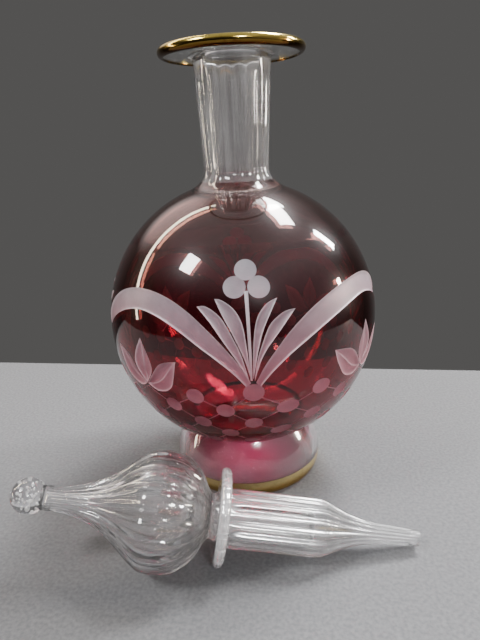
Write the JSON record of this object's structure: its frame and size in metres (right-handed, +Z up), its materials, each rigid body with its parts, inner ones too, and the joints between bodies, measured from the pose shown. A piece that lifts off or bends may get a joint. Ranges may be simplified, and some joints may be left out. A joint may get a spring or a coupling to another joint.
{
  "type": "perfume bottle",
  "caption": "Round cut ruby glass bottle on a hollow foot, with a long clear neck, a gilded lip and a loose fluted glass stopper lying beside it.",
  "frame": {"origin": "where the bottle's axis meets the surface that it stands on", "axes": "+Z up along the bottle's axis and out of its mouth, -Y towards the lying stopper"},
  "size_m": [0.1217, 0.1198, 0.15],
  "materials": {
    "clear_glass": "clear polished hand-blown glass",
    "ruby_glass": "polished ruby casing, with frosted wheel engraving cut through it",
    "gilding": "burnished gold, slightly worn",
    "bubbled_glass": "clear glass with air bubbles inside",
    "stopper_glass": "clear fluted hand-blown glass"
  },
  "bodies": {
    "bottle": {"globe_glass": "clear_glass", "ruby_casing": "ruby_glass", "neck": "clear_glass", "lip_flange": "clear_glass", "lip_gold_rim": "gilding", "foot": "clear_glass", "foot_gold_band": "gilding"},
    "stopper": {"stopper_ball": "bubbled_glass", "stopper_bulb": "stopper_glass", "stopper_flange": "stopper_glass", "stopper_plug": "stopper_glass"}
  },
  "joints": [
    {"name": "stopper_lift", "type": "slide", "parent": "bottle", "child": "stopper", "axis": [0, -0.6, 0.8], "range_m": [0, 0.15]}
  ]
}
